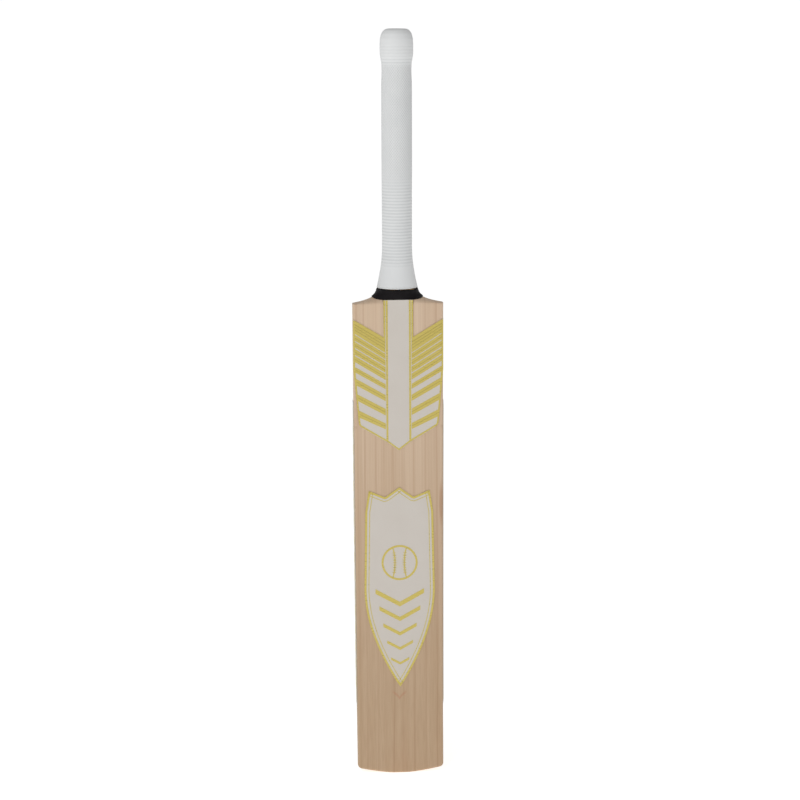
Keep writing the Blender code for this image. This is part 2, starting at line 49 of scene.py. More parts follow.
SPRING_CENTRE = 0.0200
FACE_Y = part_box("spring_middle")[1][1] - SPRING_CENTRE - 0.0011
BLADE_LENGTH = 0.5728
BLADE_WIDTH = 0.1056
BAT_LENGTH = 0.889
SHOULDER_RISE, TAPE_RISE, SPLICE_LENGTH = 0.0205, 0.0050, 0.146
NECK_TOP = BLADE_LENGTH + SHOULDER_RISE
SPLICE_TIP = BLADE_LENGTH - SPLICE_LENGTH
TAPE_FROM = BLADE_LENGTH + TAPE_RISE
TAPE_TO = TAPE_FROM + 0.0117
WOOD_TOP = BAT_LENGTH - 0.0017
NECK_HALF, SHAFT_HALF, NECK_FLARE = (0.0234, 0.0203), (0.0177, 0.0187), 0.046
FACE_CROWN, EDGE_BULGE, FACE_ROUND, BACK_ROUND, SPINE_POWER = 0.0022, 0.0005, 0.003, 0.005, 0.8
BOW, LEAN, TOE_NARROWING, COVE_CURVE = 0.008, 0.012, 0.0024, 4.2
SWELL_TO, SWELL_UNTIL = 0.262, 0.576
KNOB_SWELL, WAIST, WAIST_AT, WAIST_SPREAD = 0.0016, 0.0006, 0.842, 0.012
SPLICE_TIP_HALF, SPLICE_TOP_HALF = 0.0015, 0.0175


def ease(value):
    """A smooth step: three squares less two cubes of the value held between 0 and 1."""
    t = np.clip(value, 0.0, 1.0)
    return t * t * (3.0 - 2.0 * t)


def swelling(z, toe, middle, shoulder):
    """A depth that eases from its toe value to its middle value, and again to its shoulder value."""
    rise = ease(z / (SWELL_TO * BLADE_LENGTH))
    fall = ease((z / BLADE_LENGTH - SWELL_UNTIL) / (1.0 - SWELL_UNTIL))
    return toe + (middle - toe) * rise + (shoulder - middle) * fall


def edge_depth(z):
    """The depth of the blade's edge behind its face."""
    return swelling(z, 0.017, 0.037, 0.020)


def spine_depth(z):
    """The depth of the blade's spine behind its face."""
    return swelling(z, 0.024, 0.061, 0.040)


def forward(z):
    """The sweep of the lower blade, a square law below the splice, plus the handle's straight lean."""
    sweep = np.clip((SPLICE_TIP - z) / SPLICE_TIP, 0.0, 1.0) ** 2
    lean = np.maximum((z - BLADE_LENGTH) / (BAT_LENGTH - BLADE_LENGTH), 0.0)
    return FACE_Y - BOW * sweep - LEAN * lean


def shaft_swell(z):
    """The swelling at the knob less a bell-shaped waist below it."""
    knob = KNOB_SWELL * ease((z - 0.846) / 0.016)
    return knob - WAIST * np.exp(-(((z - WAIST_AT) / WAIST_SPREAD) ** 2))


def handle_halves(z):
    """The handle's half width and half depth: each falls from the neck to the shaft as a square,
    then follows the swell."""
    flare = np.clip((NECK_TOP + NECK_FLARE - z) / NECK_FLARE, 0.0, 1.0) ** 2
    return [shaft + (neck - shaft) * flare + shaft_swell(z) for neck, shaft in zip(NECK_HALF, SHAFT_HALF)]


def blade_half_width(z):
    """Half of the blade's width, narrowing in a straight line to the toe."""
    return (BLADE_WIDTH - TOE_NARROWING * (1.0 - z / BLADE_LENGTH)) / 2.0


def covering(z):
    """How deep the wood lies under the tape, the grip and the twine."""
    return np.select([z < TAPE_FROM, z <= TAPE_TO, z < 0.604], [0.0, 0.0012, 0.0017], 0.0027)


def spread(stops, counts):
    """Even steps between each pair of stops, joined, with the last stop added."""
    parts = [np.linspace(a, b, n + 1)[:-1] for a, b, n in zip(stops, stops[1:], counts)]
    return np.append(np.concatenate(parts), stops[-1])


COUNTS = (34, 8, 8, 8, 40)


def blade_outline(z, grow):
    """Half a blade section, face middle to spine: a crowned face, a small and a large quarter round
    either side of a slightly bulging edge, and a back that rises as a cosine to the spine."""
    edge, spine, half = edge_depth(z), spine_depth(z), blade_half_width(z)
    front_r, back_r = FACE_ROUND, BACK_ROUND
    n_front, n_corner, n_side, n_back_corner, n_back = COUNTS
    front_x = np.linspace(0.0, 1.0, n_front + 1)[:-1] * (half - front_r)
    front_y = FACE_CROWN * (front_x / half) ** 2 - grow
    corner_y = FACE_CROWN * ((half - front_r) / half) ** 2
    turn = np.linspace(0.0, np.pi / 2.0, n_corner + 1)[:-1]
    along = np.linspace(0.0, 1.0, n_side + 1)[:-1]
    back_turn = np.linspace(0.0, np.pi / 2.0, n_back_corner + 1)[:-1]
    q = np.linspace(1.0, 0.0, n_back + 1)
    xs = [front_x, half - front_r + (front_r + grow) * np.sin(turn)]
    ys = [front_y, corner_y + front_r - (front_r + grow) * np.cos(turn)]
    xs.append(half + grow + EDGE_BULGE * np.sin(np.pi * along))
    ys.append(corner_y + front_r + along * (edge - back_r - corner_y - front_r))
    xs.append(half - back_r + (back_r + grow) * np.cos(back_turn))
    ys.append(edge - back_r + (back_r + grow) * np.sin(back_turn))
    xs.append(q * (half - back_r))
    ys.append(edge + grow + (spine - edge) * (1.0 + np.cos(np.pi * q**SPINE_POWER)) / 2.0)
    return np.concatenate(xs), np.concatenate(ys)


def outline(z, grow):
    """Half the section at a height: the blade's, the handle's oval, or an eased blend in the cove."""
    if z <= BLADE_LENGTH:
        xs, ys = blade_outline(z, grow)
        return xs, ys + forward(z)
    angle = np.radians(spread([0.0, 58.0, 72.0, 108.0, 122.0, 180.0], COUNTS))
    if z >= NECK_TOP:
        wide, deep = [size + grow for size in handle_halves(z)]
    else:
        cove = ((NECK_TOP - z) / SHOULDER_RISE) ** COVE_CURVE
        wide = NECK_HALF[0] + (BLADE_WIDTH / 2.0 - NECK_HALF[0]) * cove + grow
        deep = NECK_HALF[1] + grow
    xs, ys = wide * np.sin(angle), SPRING_CENTRE - deep * np.cos(angle)
    if z < NECK_TOP:
        flat_x, flat_y = blade_outline(BLADE_LENGTH, grow)
        flat_x = flat_x * wide / (BLADE_WIDTH / 2.0 + grow)
        blend = ease((z - BLADE_LENGTH) / 0.0080)
        xs, ys = flat_x + (xs - flat_x) * blend, flat_y + (ys - flat_y) * blend
    return xs, ys + forward(z)


def splice_half(z):
    """Half the splice's width, a straight taper from the shoulder to a blunt tip."""
    return SPLICE_TIP_HALF + (SPLICE_TOP_HALF - SPLICE_TIP_HALF) * (z - SPLICE_TIP) / SPLICE_LENGTH


def skin(name, sheets, sharp=40.0):
    """One mesh from grids of points. A sheet is (points, closed across, closed along); each cell is a
    quad, shared points are merged, and the faces are turned to point outwards."""
    corners, faces, base = [], [], 0
    for points, wrap_v, wrap_u in sheets:
        rows, columns = points.shape[:2]
        index = np.arange(rows * columns).reshape(rows, columns) + base
        if wrap_v:
            index = np.column_stack([index, index[:, :1]])
        if wrap_u:
            index = np.vstack([index, index[:1]])
        cells = [index[:-1, :-1], index[:-1, 1:], index[1:, 1:], index[1:, :-1]]
        faces.append(np.stack(cells, axis=-1).reshape(-1, 4))
        corners.append(points.reshape(-1, 3))
        base += rows * columns
    mesh = bpy.data.meshes.new(name)
    mesh.from_pydata(np.concatenate(corners).tolist(), [], np.concatenate(faces).tolist())
    bm = bmesh.new()
    bm.from_mesh(mesh)
    bmesh.ops.remove_doubles(bm, verts=bm.verts, dist=2e-6)
    bmesh.ops.dissolve_degenerate(bm, edges=bm.edges, dist=1e-7)
    bmesh.ops.recalc_face_normals(bm, faces=bm.faces)
    bm.to_mesh(mesh)
    bm.free()
    mesh.shade_smooth()
    mesh.set_sharp_from_angle(angle=np.radians(sharp))
    piece = bpy.data.objects.new(name, mesh)
    bpy.context.scene.collection.objects.link(piece)
    return piece


def cane_skin(name, x_from, x_to, depth):
    """A back cane: its floor is a flat glue face, its top follows the wood's back, its sides follow
    the splice's taper below the neck and the glue lines above it."""
    above = np.linspace(BLADE_LENGTH + 0.0010, WOOD_TOP, 160)
    rows = []
    for z in np.concatenate([np.linspace(SPLICE_TIP + 0.0003, BLADE_LENGTH, 60), above]):
        rounding = np.sqrt(1.0 - np.clip((z - BAT_LENGTH + 0.018) / 0.0164, 0.0, 1.0) ** 2)
        xs, ys = outline(z, -covering(z) - 0.0065 * (1.0 - rounding))
        back = slice(len(xs) // 2, None)
        floor = forward(z) + SPRING_CENTRE + depth + (0.0014 if z > BLADE_LENGTH - 0.0803 else 0.00015)
        reach = np.interp(floor + 0.0002, ys[back], xs[back])
        if z < NECK_TOP:
            reach = min(reach, splice_half(z) - 0.0003)
        right = min(x_to, reach)
        left = max(x_from, -reach)
        if right - left < 0.0002:
            continue
        across = np.linspace(left, right, 12)
        top = np.interp(-np.abs(across), -xs[back], ys[back])
        upper = np.column_stack([across, np.maximum(top, floor + 0.0001), np.full(12, z)])
        lower = np.column_stack([across[::-1], np.full(12, floor), np.full(12, z)])
        rows.append(np.concatenate([upper, lower]))
    grid = np.array(rows)
    ends = [(np.stack([end[:12], end[:11:-1]]), False, False) for end in (grid[0], grid[-1])]
    return skin(name, [(grid, True, False)] + ends, 35.0)


def mixed(nodes, factor, first, second, kind="MIX"):
    """A colour mix; each colour is a plain value or a socket."""
    mix = nodes.new("ShaderNodeMix")
    mix.data_type = "RGBA"
    mix.blend_type = kind
    for socket, value in (("Factor", factor), ("A", first), ("B", second)):
        target = [s for s in mix.inputs if s.name == socket and s.enabled][0]
        if isinstance(value, bpy.types.NodeSocket):
            mix.id_data.links.new(value, target)
        elif socket == "Factor":
            target.default_value = value
        else:
            target.default_value = (*value, 1.0)
    return [s for s in mix.outputs if s.enabled][0]


def fed(node, values):
    """Each named input of a node, set to a plain value or linked to a socket."""
    for name, value in values.items():
        if isinstance(value, bpy.types.NodeSocket):
            node.id_data.links.new(value, node.inputs[name])
        else:
            node.inputs[name].default_value = value
    return node


def stepped(nodes, value, low, high, out_low=0.0, out_high=1.0):
    """A smooth ramp of a value between two limits."""
    ramp = nodes.new("ShaderNodeMapRange")
    ramp.interpolation_type = "SMOOTHSTEP"
    limits = {"From Min": low, "From Max": high, "To Min": out_low, "To Max": out_high}
    return fed(ramp, {"Value": value, **limits}).outputs["Result"]


def noise(nodes, vector, scale, detail=2.0):
    """A noise value read at a vector."""
    node = nodes.new("ShaderNodeTexNoise")
    return fed(node, {"Scale": scale, "Detail": detail, "Vector": vector}).outputs["Fac"]


def mapped(nodes, kind="POINT", **values):
    """The object's own coordinates, scaled, turned or moved."""
    node = nodes.new("ShaderNodeMapping")
    node.vector_type = kind
    place = nodes.new("ShaderNodeTexCoord").outputs["Object"]
    return fed(node, {"Vector": place, **values}).outputs["Vector"]


def new_group(name, inputs, outputs):
    """A new node group with its named values in and out, its nodes and links, and its two ends."""
    group = bpy.data.node_groups.new(name, "ShaderNodeTree")
    for side, sockets in (("INPUT", inputs), ("OUTPUT", outputs)):
        for socket in sockets:
            group.interface.new_socket(socket, in_out=side, socket_type="NodeSocketFloat")
    nodes, links = group.nodes, group.links
    return group, nodes, links, nodes.new("NodeGroupInput"), nodes.new("NodeGroupOutput")


def grain_group():
    """Wood fibre: fine noise stretched far along the bat, and broader bands of tone across it."""
    group, nodes, links, inside, outside = new_group("wood_fibre", ("Across", "Along"), ("Fibre", "Band"))
    across, along = inside.outputs["Across"], inside.outputs["Along"]
    size = fed(nodes.new("ShaderNodeCombineXYZ"), {"X": across, "Y": across, "Z": along})
    place = mapped(nodes, Scale=size.outputs["Vector"])
    links.new(noise(nodes, place, 1.0, 3.0), outside.inputs["Fibre"])
    links.new(noise(nodes, place, 0.09), outside.inputs["Band"])
    return group


wood_fibre = grain_group()


def grouped(nodes, group, values):
    """A shared node group with its inputs set."""
    node = nodes.new("ShaderNodeGroup")
    node.node_tree = group
    return fed(node, values).outputs


def new_finish(name):
    """A new material, its nodes and links, and its shader."""
    material = bpy.data.materials.new(name)
    material.use_nodes = True
    nodes, links = material.node_tree.nodes, material.node_tree.links
    return material, nodes, links, nodes["Principled BSDF"]


def bumped(nodes, shader, height, strength, distance):
    """A bump from a height, into the shader's normal."""
    bump = fed(nodes.new("ShaderNodeBump"), {"Strength": strength, "Distance": distance, "Height": height})
    fed(shader, {"Normal": bump.outputs["Normal"]})


def cane_finish():
    """Straw-brown cane: long pores, darker fibre bundles and a satin oiled surface."""
    material, nodes, links, shader = new_finish("oiled_cane")
    fibre = grouped(nodes, wood_fibre, {"Across": 1600.0, "Along": 14.0})
    pores = stepped(nodes, fibre["Fibre"], 0.52, 0.68)
    tone = mixed(nodes, fibre["Band"], (0.50, 0.31, 0.14), (0.64, 0.44, 0.22))
    links.new(mixed(nodes, pores, tone, (0.26, 0.14, 0.06)), shader.inputs["Base Color"])
    links.new(stepped(nodes, fibre["Fibre"], 0.3, 0.7, 0.42, 0.60), shader.inputs["Roughness"])
    bumped(nodes, shader, fibre["Fibre"], 0.25, 0.0003)
    return material


def strip_finish():
    """Dull black rubber with a fine dusty mottle."""
    material, nodes, links, shader = new_finish("spring_strip_rubber")
    speck = noise(nodes, mapped(nodes), 900.0)
    tone = mixed(nodes, speck, (0.03, 0.028, 0.026), (0.09, 0.085, 0.08))
    links.new(tone, shader.inputs["Base Color"])
    links.new(stepped(nodes, speck, 0.3, 0.7, 0.65, 0.85), shader.inputs["Roughness"])
    return material


oiled_cane = cane_finish()
spring_strip_rubber = strip_finish()
cane_columns = (("left", -0.03, -0.00495), ("middle", -0.00465, 0.00465), ("right", 0.00495, 0.03))
for side, x_from, x_to in cane_columns:
    cane = cane_skin("back_cane_" + side, x_from, x_to, 0.008)
    cane.data.materials.append(oiled_cane)
    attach(cane, "root")
    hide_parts("cane_back_" + side)
    for layer in ("front", "front_inner", "back_inner"):
        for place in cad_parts["cane_" + layer + "_" + side].material_slots:
            place.material = oiled_cane
for strip in ("front", "middle", "back"):
    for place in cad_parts["spring_" + strip].material_slots:
        place.material = spring_strip_rubber

# --------------------
# Blade. One cleft of pale willow, pressed and sanded: a crowned face, square
# edges, a high spine, coved shoulders and a rounded toe, with a V slot sawn
# into its top for the splice. Bare wood with straight grain lines.

TOE_FLAT, TOE_RISE, TOE_FADE = 0.008, 0.0062, 0.060


def toe_lift(points, height):
    """Raises a section along the toe's curve, a power of the distance from the flat, fading up the blade."""
    reach = np.clip((np.abs(points[..., 0]) - TOE_FLAT) / (BLADE_WIDTH / 2.0 - TOE_FLAT), 0.0, 1.0)
    points[..., 2] = height + TOE_RISE * reach**1.4 * (1.0 - ease(height / TOE_FADE))
    return points


def willow_row(z, grow, inset):
    """Half a willow section that starts and ends at the splice slot's walls where there is one."""
    xs, ys = outline(z, grow)
    xs = xs * (1.0 - inset / (BLADE_WIDTH / 2.0))
    wall = splice_half(z) if z > SPLICE_TIP else 0.0
    share = np.arange(len(xs)) / (len(xs) - 1.0)
    peak = int(np.argmax(xs))
    start = np.interp(wall, xs[: peak + 1], share[: peak + 1])
    stop = np.interp(-wall, -xs[peak:], share[peak:])
    kept = start + (stop - start) * share
    return np.column_stack([np.interp(kept, share, xs), np.interp(kept, share, ys), np.full(len(xs), z)])


def willow_blade():
    """The right half as rows of half sections, its mirror image, the slot's walls and the end faces."""
    rows = []
    for turn in np.radians([0.0, 22.0, 45.0, 67.0]):
        inset = 0.0024 * (1.0 - np.sin(turn))
        height = 0.003 * (1.0 - np.cos(turn))
        rows.append(toe_lift(willow_row(height, -inset, inset), height))
    for z in np.concatenate([np.linspace(0.003, 0.060, 24), np.linspace(0.0625, SPLICE_TIP, 96)]):
        rows.append(toe_lift(willow_row(z, 0.0, 0.0), z))
    cove_steps = np.array([0.03, 0.07, 0.12, 0.18, 0.25, 0.34, 0.44, 0.55, 0.67, 0.80, 0.98])
    cove = BLADE_LENGTH + TAPE_RISE * cove_steps
    for z in np.concatenate([np.linspace(SPLICE_TIP + 0.00001, BLADE_LENGTH, 60), cove]):
        rows.append(willow_row(z, 0.0, 0.0))
    for z in np.linspace(TAPE_FROM, TAPE_TO - 0.0005, 24):
        rows.append(willow_row(z, -0.0012 * ease((z - TAPE_FROM - 0.0024) / 0.0010), 0.0))
    right = np.array(rows)
    columns = right.shape[1]
    share = np.linspace(0.0, 1.0, 8)[:, None, None]
    middle = columns // 2
    near, far = right[0][: middle + 1], right[0][: middle - 1 : -1][: middle + 1]
    toe = toe_lift(near * (1.0 - share) + far * share, 0.0)
    slot = right[right[:, 0, 2] >= SPLICE_TIP - 0.00001][:, [0, -1]]
    first, last = right[-1][[0]], right[-1][[-1]]
    top = np.stack([right[-1], first + (last - first) * np.linspace(0, 1, columns)[:, None]])
    half = [(right, False, False), (toe, False, False), (slot, False, False), (top, False, False)]
    turned = [(grid * np.array([-1.0, 1.0, 1.0]), False, False) for grid, _, _ in half]
    return skin("willow_blade", half + turned, 50.0)


GRAIN_AT = (-0.0485, -0.0400, -0.0265, -0.0170, -0.0070, 0.0045, 0.0180, 0.0320, 0.0455)
GRAIN_DEPTH = (0.75, 1.0, 0.85, 0.35, 1.0, 0.55, 1.0, 0.8, 0.9)
GRAIN_REACH, GRAIN_WANDER = 0.056, 0.009


def reckoned(nodes, operation, *terms):
    """A maths node on sockets or plain numbers."""
    node = nodes.new("ShaderNodeMath")
    node.operation = operation
    return fed(node, dict(enumerate(terms))).outputs["Value"]


def willow_finish():
    """Pale willow: pink-cream ground, a few straight reddish growth lines that wander slightly, fine
    silky fibre, a brown fleck at one edge, a small butterfly stain near the toe, and painted shade that
    darkens it towards the toe."""
    material, nodes, links, shader = new_finish("bare_willow")
    parts = fed(nodes.new("ShaderNodeSeparateXYZ"), {"Vector": mapped(nodes)})
    wander = noise(nodes, mapped(nodes, Scale=(14.0, 6.0, 2.2)), 1.0)
    drift = reckoned(nodes, "MULTIPLY_ADD", wander, GRAIN_WANDER, parts.outputs["X"])
    middle = GRAIN_WANDER / 2.0
    limits = {"From Min": middle - GRAIN_REACH, "From Max": middle + GRAIN_REACH}
    rings = fed(nodes.new("ShaderNodeMapRange"), {"Value": drift, **limits})
    lines = nodes.new("ShaderNodeValToRGB")
    lines.color_ramp.interpolation = "LINEAR"
    stops = lines.color_ramp.elements
    stops[0].color = (0.0, 0.0, 0.0, 1.0)
    stops[1].color = (0.0, 0.0, 0.0, 1.0)
    for x, depth in zip(GRAIN_AT, GRAIN_DEPTH):
        centre = (x + GRAIN_REACH) / (2.0 * GRAIN_REACH)
        for offset, value in ((-0.020, 0.0), (0.0, depth), (0.006, 0.0)):
            stop = stops.new(min(max(centre + offset, 0.001), 0.999))
            stop.color = (value, value, value, 1.0)
    links.new(rings.outputs["Result"], lines.inputs["Fac"])
    fibre = grouped(nodes, wood_fibre, {"Across": 1100.0, "Along": 7.0})
    ground = mixed(nodes, fibre["Band"], (0.590, 0.425, 0.285), (0.735, 0.575, 0.430))
    silky = stepped(nodes, fibre["Fibre"], 0.35, 0.72, 0.0, 0.34)
    ground = mixed(nodes, silky, ground, (0.50, 0.345, 0.232))
    blush = stepped(nodes, wander, 0.52, 0.74, 0.0, 0.30)
    ground = mixed(nodes, blush, ground, (0.62, 0.385, 0.255))
    broken = stepped(nodes, wander, 0.30, 0.60, 0.12, 0.46)
    faint = reckoned(nodes, "MULTIPLY", lines.outputs["Color"], broken)
    ground = mixed(nodes, faint, ground, (0.46, 0.275, 0.165))
    # Painted shade: the wood colour is multiplied darker towards the toe, fading out by mid-blade, standing
    # in for light falling off down the bat.
    painted_low_shade = stepped(nodes, parts.outputs["Z"], 0.05, 0.56, 1.0, 0.0)
    ground = mixed(nodes, painted_low_shade, ground, (0.78, 0.725, 0.64), "MULTIPLY")
    fleck = mapped(nodes, "TEXTURE", Location=(0.0500, FACE_Y, 0.332), Scale=(0.0034, 0.030, 0.034))
    distance = nodes.new("ShaderNodeVectorMath")
    distance.operation = "LENGTH"
    links.new(fleck, distance.inputs[0])
    brown = stepped(nodes, distance.outputs["Value"], 0.35, 1.0, 0.55, 0.0)
    ground = mixed(nodes, brown, ground, (0.40, 0.21, 0.115))
    stain = mapped(nodes, "TEXTURE", Location=(-0.0010, FACE_Y, 0.0935), Scale=(0.0095, 0.050, 0.0095))
    wings = fed(nodes.new("ShaderNodeSeparateXYZ"), {"Vector": stain})
    across = reckoned(nodes, "ABSOLUTE", wings.outputs["X"])
    curve = reckoned(nodes, "POWER", across, 0.70)
    away = reckoned(nodes, "SUBTRACT", wings.outputs["Z"], curve)
    stroke = stepped(nodes, reckoned(nodes, "ABSOLUTE", away), 0.04, 0.30, 0.45, 0.0)
    limit = stepped(nodes, across, 0.55, 1.05, 1.0, 0.0)
    shallow = stepped(nodes, parts.outputs["Y"], FACE_Y + 0.004, FACE_Y + 0.010, 1.0, 0.0)
    stained = reckoned(nodes, "MULTIPLY", reckoned(nodes, "MULTIPLY", stroke, limit), shallow)
    ground = mixed(nodes, stained, ground, (0.46, 0.205, 0.115))
    links.new(ground, shader.inputs["Base Color"])
    links.new(stepped(nodes, fibre["Fibre"], 0.30, 0.70, 0.40, 0.56), shader.inputs["Roughness"])
    shader.inputs["Specular IOR Level"].default_value = 0.35
    bumped(nodes, shader, fibre["Fibre"], 0.12, 0.0003)
    return material


blade = willow_blade()
blade.data.materials.append(willow_finish())
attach(blade, "root")
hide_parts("blade")

# --------------------
# Twine. Waxed linen thread wound tight over the handle and set in glue; the
# rubber grip is rolled over it, so only its turns at the open top can show.


def twine_finish():
    """Waxed thread: close turns across the handle with a slightly uneven tone."""
    material, nodes, links, shader = new_finish("waxed_twine")
    turns = nodes.new("ShaderNodeTexWave")
    turns.bands_direction = "Z"
    turns.inputs["Scale"].default_value = 320.0
    turns.inputs["Distortion"].default_value = 0.6
    links.new(mapped(nodes), turns.inputs["Vector"])
    tone = mixed(nodes, turns.outputs["Fac"], (0.40, 0.33, 0.22), (0.66, 0.58, 0.44))
    links.new(tone, shader.inputs["Base Color"])
    shader.inputs["Roughness"].default_value = 0.6
    bumped(nodes, shader, turns.outputs["Fac"], 0.6, 0.0004)
    return material


waxed_twine = twine_finish()
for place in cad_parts["twine_whipping"].material_slots:
    place.material = waxed_twine

# --------------------
# Grip. One moulded tube of white rubber rolled down the handle: a raised
# lattice on its upper half, close ribs below, a thick lip at the bottom and a
# turned-in top round a hole that shows the end of the handle.

GRIP_FROM = TAPE_TO + 0.0003
GRIP_WALL, GRIP_LIP = 0.0014, 0.0022
KNOB_END, KNOB_ROUNDING, PATTERN_STEP = 0.018, 0.0092, 0.0036
KNOB_BASE = BAT_LENGTH - KNOB_END


def grip_pattern(a, z):
    """The moulded relief from 0 to 1: two sets of slanting ridges that cross in diamonds on the upper
    half, fading into level ribs below and on the knob."""
    lattice_on = ease((z - 0.690) / 0.050) * (1.0 - ease((z - 0.846) / 0.008))
    slants = [np.abs(np.cos(19.0 * a + way * z * np.pi / PATTERN_STEP)) for way in (1.0, -1.0)]
    lattice = np.maximum(slants[0], slants[1]) ** 4
    ribs = 0.5 + 0.30 * np.cos(z * 2.0 * np.pi / PATTERN_STEP)
    plain = ease((z - 0.606) / 0.020) * (1.0 - ease((z - 0.852) / 0.006) * 0.4)
    return lattice * lattice_on + (1.0 - lattice_on) * (1.0 - plain * (1.0 - ribs))


def grip_skin():
    """Rings of an oval raised by the moulded relief, then the rounded top, the hole's edge and the
    inner wall. The relief is also kept on the points, for the painted shade in its hollows."""
    around = 216
    angle = np.arange(around) * (2.0 * np.pi / around)
    heights = np.linspace(GRIP_FROM + GRIP_LIP, KNOB_BASE, 400)
    a, z = np.meshgrid(angle, heights)

    def placed(wide, deep, height):
        """Points on ovals of the given half sizes at the given heights."""
        turn = a[: len(height)]
        y = SPRING_CENTRE - deep * np.cos(turn) + forward(height)
        return np.stack([wide * np.sin(turn), y, height], axis=-1)

    def grown(by, height):
        """Points on the handle's own ovals, moved outwards."""
        return placed(*[size + by for size in handle_halves(height)], height)

    def column(values):
        """One value for each ring, repeated round it."""
        return np.repeat(np.asarray(values)[:, None], around, axis=1)

    body = grown(0.00046 * grip_pattern(a, z) - 0.0004, z)
    lip_z = GRIP_FROM + np.array([0.0005, 0.0006, 0.0009, 0.0012, 0.0016, 0.0019, 0.0021])
    lip = grown(column([-0.0002, 0.0003, 0.0006, 0.0007, 0.0006, 0.0003, 0.0]), column(lip_z))
    turn = column(np.radians(np.linspace(3.0, 90.0, 24)))
    drop = -KNOB_ROUNDING * (1.0 - np.cos(turn)) ** 1.2
    ridge = 0.00010 * np.cos(turn * 16.0) * np.cos(turn)
    cap = grown(drop + ridge - 0.0001, KNOB_BASE + KNOB_END * np.sin(turn))
    hole_z = column(BAT_LENGTH - np.array([0.0001, 0.0004, 0.0008, 0.0012, GRIP_WALL]))
    hole_in = column([0.0099, 0.0094, 0.0093, 0.0094, 0.0098])
    hole = placed(hole_in, hole_in + 0.0010, hole_z)
    turn = column(np.radians(np.linspace(90.0, 0.0, 7)))
    in_drop = -GRIP_WALL - 0.8 * KNOB_ROUNDING * (1.0 - np.cos(turn)) ** 1.2
    in_cap = grown(in_drop, KNOB_BASE + (KNOB_END - GRIP_WALL) * np.sin(turn))
    upper = np.linspace(KNOB_BASE - 0.002, 0.640, 12)
    lower = np.linspace(0.632, GRIP_FROM + 0.0005, 10)
    wall = grown(-GRIP_WALL, column(np.concatenate([upper, lower])))
    tube = skin("rubber_grip", [(np.concatenate([lip, body, cap, hole, in_cap, wall]), True, True)], 60.0)
    points = np.empty(len(tube.data.vertices) * 3)
    tube.data.vertices.foreach_get("co", points)
    x, y, z = points.reshape(-1, 3).T
    wide, deep = handle_halves(z)
    turn = np.arctan2(x / wide, (SPRING_CENTRE + forward(z) - y) / deep)
    relief = np.where((z > GRIP_FROM + GRIP_LIP) & (z < KNOB_BASE), grip_pattern(turn, z), 0.8)
    tube.data.attributes.new("relief", "FLOAT", "POINT").data.foreach_set("value", relief)
    return tube


def handled_group():
    """Handling marks: soft patches of faint grey and a fine speckle, for rubber, film and tape."""
    ends = ("Patch Size",), ("Patches", "Speckle")
    group, nodes, links, inside, outside = new_group("handling_marks", *ends)
    place = mapped(nodes)
    links.new(noise(nodes, place, inside.outputs["Patch Size"], 4.0), outside.inputs["Patches"])
    links.new(noise(nodes, place, 1400.0), outside.inputs["Speckle"])
    return group


handling_marks = handled_group()


def grip_finish():
    """Matt white rubber, a little greyer in patches, with painted shade in the hollows of its pattern."""
    material, nodes, links, shader = new_finish("white_grip_rubber")
    marks = grouped(nodes, handling_marks, {"Patch Size": 26.0})
    soft = stepped(nodes, marks["Patches"], 0.42, 0.70, 0.0, 0.35)
    colour = mixed(nodes, soft, (0.745, 0.755, 0.755), (0.660, 0.672, 0.678))
    relief = nodes.new("ShaderNodeAttribute")
    relief.attribute_name = "relief"
    # Painted shade: the rubber is greyed where the moulded relief is low, standing in for shade in the
    # pattern's hollows.
    painted_hollow_shade = stepped(nodes, relief.outputs["Fac"], 0.05, 0.80, 0.44, 0.0)
    links.new(mixed(nodes, painted_hollow_shade, colour, (0.44, 0.46, 0.465)), shader.inputs["Base Color"])
    links.new(stepped(nodes, marks["Speckle"], 0.3, 0.7, 0.50, 0.68), shader.inputs["Roughness"])
    shader.inputs["Specular IOR Level"].default_value = 0.4
    bumped(nodes, shader, marks["Speckle"], 0.10, 0.0002)
    return material


grip = grip_skin()
grip.data.materials.append(grip_finish())
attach(grip, "root")
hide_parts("grip")

# --------------------
# Shoulder tape. Two turns of black adhesive cloth tape drawn over the coves
# where the grip meets the wood; its free end shows as a small step in front.


def tape_ring(z, drawn_up, grow, loose):
    """A closed ring: its front and back belong to the section at a height, grown by the first amount;
    towards the sides, as the sine to the fourth, it nears a section drawn up the cove and looser."""
    raised = np.sin(np.linspace(0.0, 1.0, sum(COUNTS) + 1) * np.pi) ** 4
    front, side = outline(z, grow), outline(z + drawn_up, grow + loose)
    x, y = [at_front + (at_side - at_front) * raised for at_front, at_side in zip(front, side)]
    return np.column_stack([np.append(x, -x[-2:0:-1]), np.append(y, y[-2:0:-1])])


